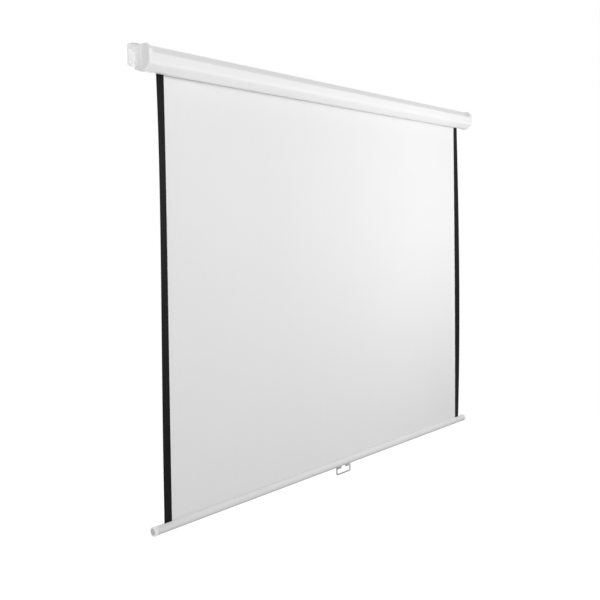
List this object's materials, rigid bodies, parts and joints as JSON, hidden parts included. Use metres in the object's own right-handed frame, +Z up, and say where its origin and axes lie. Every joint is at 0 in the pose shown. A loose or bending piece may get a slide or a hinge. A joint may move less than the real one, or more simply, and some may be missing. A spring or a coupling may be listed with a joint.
{
  "type": "manual projector screen",
  "caption": "White pull-down projector screen with a chamfered case, wall and ceiling brackets, spring roller, side borders, weight bar and wire handle.",
  "frame": {"origin": "middle of the case's flat back face, which lies against the wall", "axes": "+X to the viewer's right along the case, +Z up, and the projection sheet faces -Y"},
  "size_m": [1.7532, 0.0625, 1.3521],
  "materials": {
    "case_paint": "white powder coat, satin",
    "cap_plastic": "white moulded plastic, satin",
    "lug_plastic": "grey moulded plastic",
    "screen_fabric": "matte white vinyl-coated cloth",
    "sheet_back": "matte black coating on the cloth's back",
    "border_black": "matte black print on the cloth",
    "steel": "dull zinc plate",
    "roller_aluminium": "mill finish",
    "grey_nylon": "moulded nylon"
  },
  "bodies": {
    "case": {"case_profile": "case_paint", "end_cap_left": "cap_plastic", "end_cap_right": "cap_plastic", "bracket_left": "case_paint", "bracket_right": "case_paint", "bracket_screw_left_upper": "case_paint", "bracket_screw_left_lower": "case_paint", "bracket_screw_right_upper": "case_paint", "bracket_screw_right_lower": "case_paint", "idle_bush": "grey_nylon", "spring_shaft": "steel", "spring_anchor": "steel", "roller_spring": "steel", "ratchet_wheel": "steel", "projection_sheet": "screen_fabric", "border_left": "border_black", "border_right": "border_black"},
    "roller": {"roller_tube": "roller_aluminium", "sheet_on_roller": "sheet_back", "roller_plug_spring": "grey_nylon", "roller_plug_idle": "grey_nylon", "idle_pin": "steel", "pawl_pin_upper": "steel", "pawl_pin_lower": "steel"},
    "upper_pawl": {"pawl_upper": "steel"},
    "lower_pawl": {"pawl_lower": "steel"},
    "bar": {"weight_bar": "case_paint", "hem_rod": "steel", "bar_knob_left": "cap_plastic", "bar_knob_right": "cap_plastic", "handle_lug_left": "lug_plastic", "handle_lug_right": "lug_plastic", "lug_screw_left": "steel", "lug_screw_right": "steel"},
    "handle": {"pull_handle": "steel"}
  },
  "joints": [
    {"name": "screen_slide", "type": "slide", "parent": "case", "child": "bar", "axis": [0, 0, 1], "range_m": [0, 1.226], "deforming": ["projection_sheet", "border_left", "border_right"]},
    {"name": "roller_spin", "type": "hinge", "parent": "case", "child": "roller", "pos_m": [0, -0.0371, -0.00315], "axis": [1, 0, 0], "range_deg": [0, 3781]},
    {"name": "handle_swing", "type": "hinge", "parent": "bar", "child": "handle", "pos_m": [0, -0.0195, -1.29586], "axis": [1, 0, 0], "range_deg": [-85, 50]},
    {"name": "upper_pawl_swing", "type": "hinge", "parent": "roller", "child": "upper_pawl", "pos_m": [-0.8398, -0.0281, 0.00785], "axis": [-1, 0, 0], "range_deg": [-15, 20]},
    {"name": "lower_pawl_swing", "type": "hinge", "parent": "roller", "child": "lower_pawl", "pos_m": [-0.8398, -0.0461, -0.01415], "axis": [-1, 0, 0], "range_deg": [-15, 20]}
  ],
  "couplings": [
    {"joint": "roller_spin", "follows": "screen_slide", "rad_per_m": 53.81}
  ]
}
